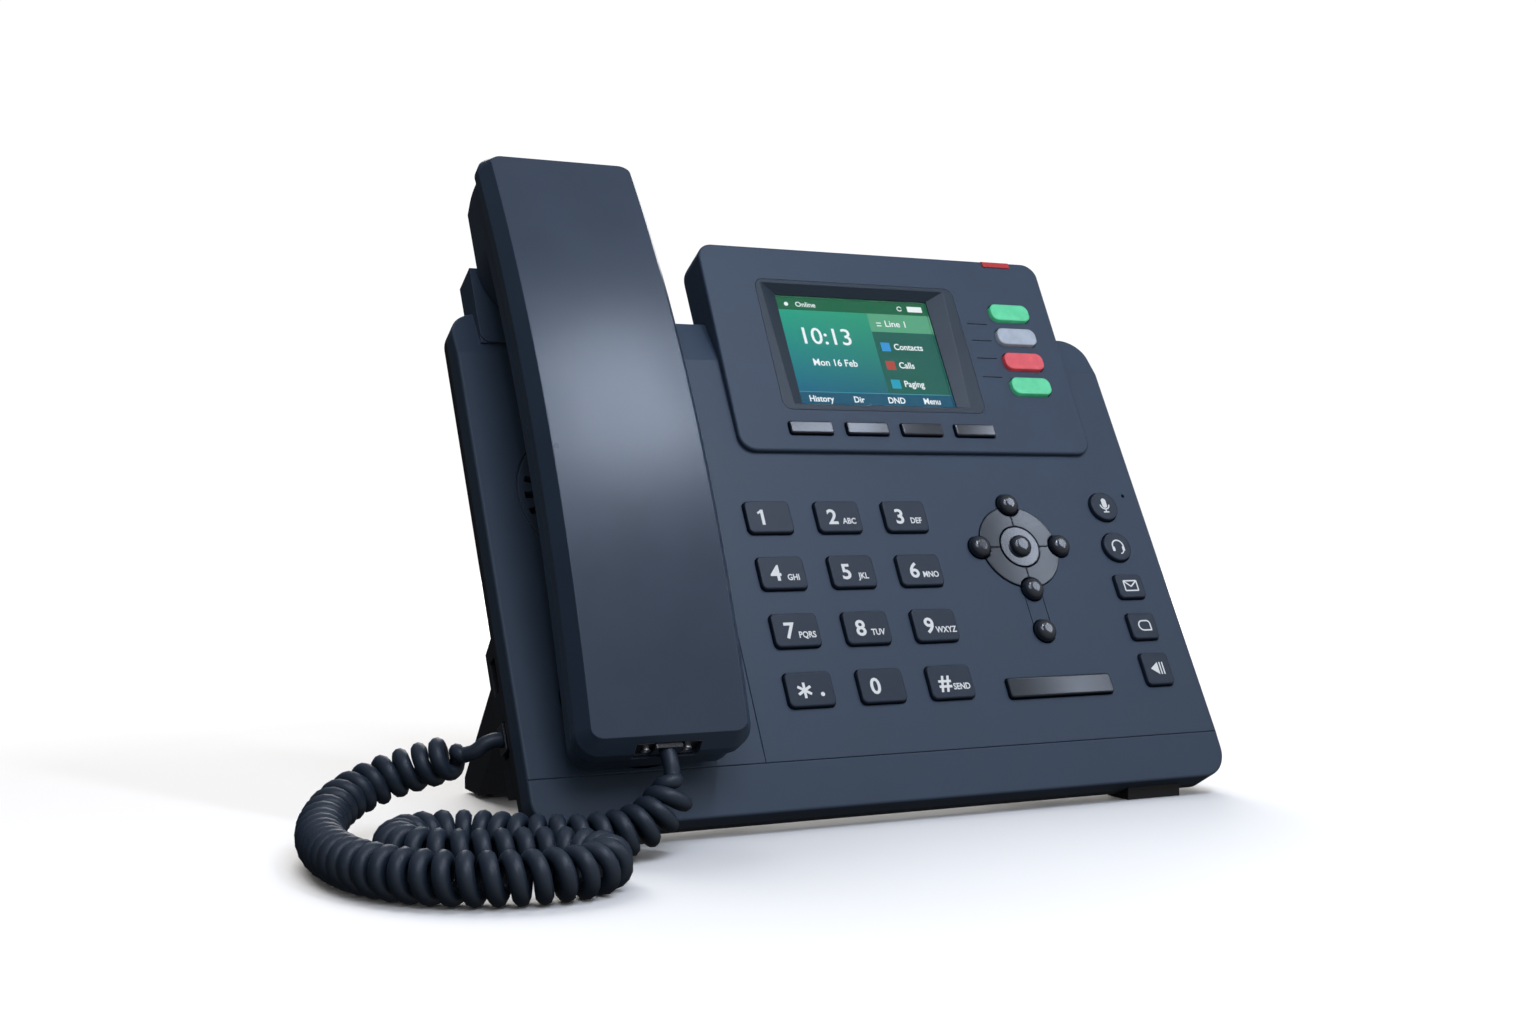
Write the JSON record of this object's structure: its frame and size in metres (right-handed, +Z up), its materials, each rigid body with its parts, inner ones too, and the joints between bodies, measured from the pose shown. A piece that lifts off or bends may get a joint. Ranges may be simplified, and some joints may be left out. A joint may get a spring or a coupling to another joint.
{
  "type": "desk ip phone",
  "caption": "Desk telephone with a tilted key panel, a small colour display, a rear stand and a handset on a curly cord.",
  "frame": {"origin": "middle of the object's footprint on the desk, the curly cord left out", "axes": "+Z up, +X along the width to the user's right, +Y away from the user"},
  "size_m": [0.2642, 0.1525, 0.1785],
  "materials": {
    "bezel": "satin",
    "board": "solder mask",
    "cord": "smooth, soft sheen",
    "gloss_key": "polished",
    "green_light_key": "translucent, polished",
    "grey_light_key": "translucent, polished",
    "handset": "fine satin texture",
    "housing": "fine satin texture",
    "key": "satin",
    "lcd": "lit colour display",
    "plug": "moulded",
    "red_lens": "translucent, polished",
    "red_light_key": "translucent, polished",
    "rubber": "matt",
    "socket": "moulded",
    "speaker": "paper cone in a plastic frame",
    "steel": "bright",
    "window": "clear"
  },
  "bodies": {
    "base": {"cord_coil": "cord", "cord_lead_base": "cord", "cord_plug_base": "plug", "display_bezel": "bezel", "display_housing": "housing", "display_window": "window", "front_cover": "housing", "housing_screws": "steel", "indicator_light": "red_lens", "key_board": "board", "lcd_module": "lcd", "loudspeaker": "speaker", "main_board": "board", "navigation_ring": "gloss_key", "network_sockets": "socket", "power_socket": "socket", "rear_cover": "housing", "rubber_feet": "rubber", "side_sockets": "socket", "stand": "housing"},
    "handset": {"handset_outer_shell": "handset", "handset_inner_shell": "handset", "handset_receiver": "speaker", "handset_microphone": "steel", "handset_screws": "steel", "cord_plug_handset": "plug", "cord_lead_handset": "cord"},
    "volume_rocker": {"volume_rocker": "gloss_key"},
    "hook_switch": {"hook_switch": "housing"},
    "dial_key_0": {"dial_key_0": "key"},
    "dial_key_1": {"dial_key_1": "key"},
    "dial_key_2": {"dial_key_2": "key"},
    "dial_key_3": {"dial_key_3": "key"},
    "dial_key_4": {"dial_key_4": "key"},
    "dial_key_5": {"dial_key_5": "key"},
    "dial_key_6": {"dial_key_6": "key"},
    "dial_key_7": {"dial_key_7": "key"},
    "dial_key_8": {"dial_key_8": "key"},
    "dial_key_9": {"dial_key_9": "key"},
    "dial_key_hash": {"dial_key_hash": "key"},
    "dial_key_star": {"dial_key_star": "key"},
    "line_key_1": {"line_key_1": "green_light_key"},
    "line_key_2": {"line_key_2": "grey_light_key"},
    "line_key_3": {"line_key_3": "red_light_key"},
    "line_key_4": {"line_key_4": "green_light_key"},
    "soft_key_1": {"soft_key_1": "gloss_key"},
    "soft_key_2": {"soft_key_2": "gloss_key"},
    "soft_key_3": {"soft_key_3": "gloss_key"},
    "soft_key_4": {"soft_key_4": "gloss_key"},
    "mute_key": {"mute_key": "key"},
    "headset_key": {"headset_key": "key"},
    "message_key": {"message_key": "key"},
    "redial_key": {"redial_key": "key"},
    "speaker_key": {"speaker_key": "key"},
    "up_key": {"up_key": "gloss_key"},
    "left_key": {"left_key": "gloss_key"},
    "right_key": {"right_key": "gloss_key"},
    "down_key": {"down_key": "gloss_key"},
    "cancel_key": {"cancel_key": "gloss_key"},
    "ok_key": {"ok_key": "gloss_key"}
  },
  "joints": [
    {"name": "handset_lift", "type": "slide", "parent": "base", "child": "handset", "axis": [0, -0.8771, 0.4802], "range_m": [0, 0.06]},
    {"name": "hook_switch_rise", "type": "slide", "parent": "base", "child": "hook_switch", "axis": [0, -0.8771, 0.4802], "range_m": [0, 0.002]},
    {"name": "volume_rocker_tilt", "type": "hinge", "parent": "base", "child": "volume_rocker", "pos_m": [0.055, -0.02768, 0.03064], "axis": [0, 0.4802, 0.8771], "range_deg": [-3, 3], "stiffness_Nm_per_rad": 0.05},
    {"name": "dial_key_0_press", "type": "slide", "parent": "base", "child": "dial_key_0", "axis": [0, 0.8771, -0.4802], "range_m": [0, 0.0012], "stiffness_N_per_m": 250},
    {"name": "dial_key_1_press", "type": "slide", "parent": "base", "child": "dial_key_1", "axis": [0, 0.8771, -0.4802], "range_m": [0, 0.0012], "stiffness_N_per_m": 250},
    {"name": "dial_key_2_press", "type": "slide", "parent": "base", "child": "dial_key_2", "axis": [0, 0.8771, -0.4802], "range_m": [0, 0.0012], "stiffness_N_per_m": 250},
    {"name": "dial_key_3_press", "type": "slide", "parent": "base", "child": "dial_key_3", "axis": [0, 0.8771, -0.4802], "range_m": [0, 0.0012], "stiffness_N_per_m": 250},
    {"name": "dial_key_4_press", "type": "slide", "parent": "base", "child": "dial_key_4", "axis": [0, 0.8771, -0.4802], "range_m": [0, 0.0012], "stiffness_N_per_m": 250},
    {"name": "dial_key_5_press", "type": "slide", "parent": "base", "child": "dial_key_5", "axis": [0, 0.8771, -0.4802], "range_m": [0, 0.0012], "stiffness_N_per_m": 250},
    {"name": "dial_key_6_press", "type": "slide", "parent": "base", "child": "dial_key_6", "axis": [0, 0.8771, -0.4802], "range_m": [0, 0.0012], "stiffness_N_per_m": 250},
    {"name": "dial_key_7_press", "type": "slide", "parent": "base", "child": "dial_key_7", "axis": [0, 0.8771, -0.4802], "range_m": [0, 0.0012], "stiffness_N_per_m": 250},
    {"name": "dial_key_8_press", "type": "slide", "parent": "base", "child": "dial_key_8", "axis": [0, 0.8771, -0.4802], "range_m": [0, 0.0012], "stiffness_N_per_m": 250},
    {"name": "dial_key_9_press", "type": "slide", "parent": "base", "child": "dial_key_9", "axis": [0, 0.8771, -0.4802], "range_m": [0, 0.0012], "stiffness_N_per_m": 250},
    {"name": "dial_key_hash_press", "type": "slide", "parent": "base", "child": "dial_key_hash", "axis": [0, 0.8771, -0.4802], "range_m": [0, 0.0012], "stiffness_N_per_m": 250},
    {"name": "dial_key_star_press", "type": "slide", "parent": "base", "child": "dial_key_star", "axis": [0, 0.8771, -0.4802], "range_m": [0, 0.0012], "stiffness_N_per_m": 250},
    {"name": "line_key_1_press", "type": "slide", "parent": "base", "child": "line_key_1", "axis": [0, 0.8771, -0.4802], "range_m": [0, 0.0012], "stiffness_N_per_m": 250},
    {"name": "line_key_2_press", "type": "slide", "parent": "base", "child": "line_key_2", "axis": [0, 0.8771, -0.4802], "range_m": [0, 0.0012], "stiffness_N_per_m": 250},
    {"name": "line_key_3_press", "type": "slide", "parent": "base", "child": "line_key_3", "axis": [0, 0.8771, -0.4802], "range_m": [0, 0.0012], "stiffness_N_per_m": 250},
    {"name": "line_key_4_press", "type": "slide", "parent": "base", "child": "line_key_4", "axis": [0, 0.8771, -0.4802], "range_m": [0, 0.0012], "stiffness_N_per_m": 250},
    {"name": "soft_key_1_press", "type": "slide", "parent": "base", "child": "soft_key_1", "axis": [0, 0.8771, -0.4802], "range_m": [0, 0.0012], "stiffness_N_per_m": 250},
    {"name": "soft_key_2_press", "type": "slide", "parent": "base", "child": "soft_key_2", "axis": [0, 0.8771, -0.4802], "range_m": [0, 0.0012], "stiffness_N_per_m": 250},
    {"name": "soft_key_3_press", "type": "slide", "parent": "base", "child": "soft_key_3", "axis": [0, 0.8771, -0.4802], "range_m": [0, 0.0012], "stiffness_N_per_m": 250},
    {"name": "soft_key_4_press", "type": "slide", "parent": "base", "child": "soft_key_4", "axis": [0, 0.8771, -0.4802], "range_m": [0, 0.0012], "stiffness_N_per_m": 250},
    {"name": "mute_key_press", "type": "slide", "parent": "base", "child": "mute_key", "axis": [0, 0.8771, -0.4802], "range_m": [0, 0.0012], "stiffness_N_per_m": 250},
    {"name": "headset_key_press", "type": "slide", "parent": "base", "child": "headset_key", "axis": [0, 0.8771, -0.4802], "range_m": [0, 0.0012], "stiffness_N_per_m": 250},
    {"name": "message_key_press", "type": "slide", "parent": "base", "child": "message_key", "axis": [0, 0.8771, -0.4802], "range_m": [0, 0.0012], "stiffness_N_per_m": 250},
    {"name": "redial_key_press", "type": "slide", "parent": "base", "child": "redial_key", "axis": [0, 0.8771, -0.4802], "range_m": [0, 0.0012], "stiffness_N_per_m": 250},
    {"name": "speaker_key_press", "type": "slide", "parent": "base", "child": "speaker_key", "axis": [0, 0.8771, -0.4802], "range_m": [0, 0.0012], "stiffness_N_per_m": 250},
    {"name": "up_key_press", "type": "slide", "parent": "base", "child": "up_key", "axis": [0, 0.8771, -0.4802], "range_m": [0, 0.0012], "stiffness_N_per_m": 250},
    {"name": "left_key_press", "type": "slide", "parent": "base", "child": "left_key", "axis": [0, 0.8771, -0.4802], "range_m": [0, 0.0012], "stiffness_N_per_m": 250},
    {"name": "right_key_press", "type": "slide", "parent": "base", "child": "right_key", "axis": [0, 0.8771, -0.4802], "range_m": [0, 0.0012], "stiffness_N_per_m": 250},
    {"name": "down_key_press", "type": "slide", "parent": "base", "child": "down_key", "axis": [0, 0.8771, -0.4802], "range_m": [0, 0.0012], "stiffness_N_per_m": 250},
    {"name": "cancel_key_press", "type": "slide", "parent": "base", "child": "cancel_key", "axis": [0, 0.8771, -0.4802], "range_m": [0, 0.0012], "stiffness_N_per_m": 250},
    {"name": "ok_key_press", "type": "slide", "parent": "base", "child": "ok_key", "axis": [0, 0.8771, -0.4802], "range_m": [0, 0.0012], "stiffness_N_per_m": 250}
  ],
  "couplings": [
    {"joint": "hook_switch_rise", "follows": "handset_lift", "ratio": 0.0333}
  ]
}
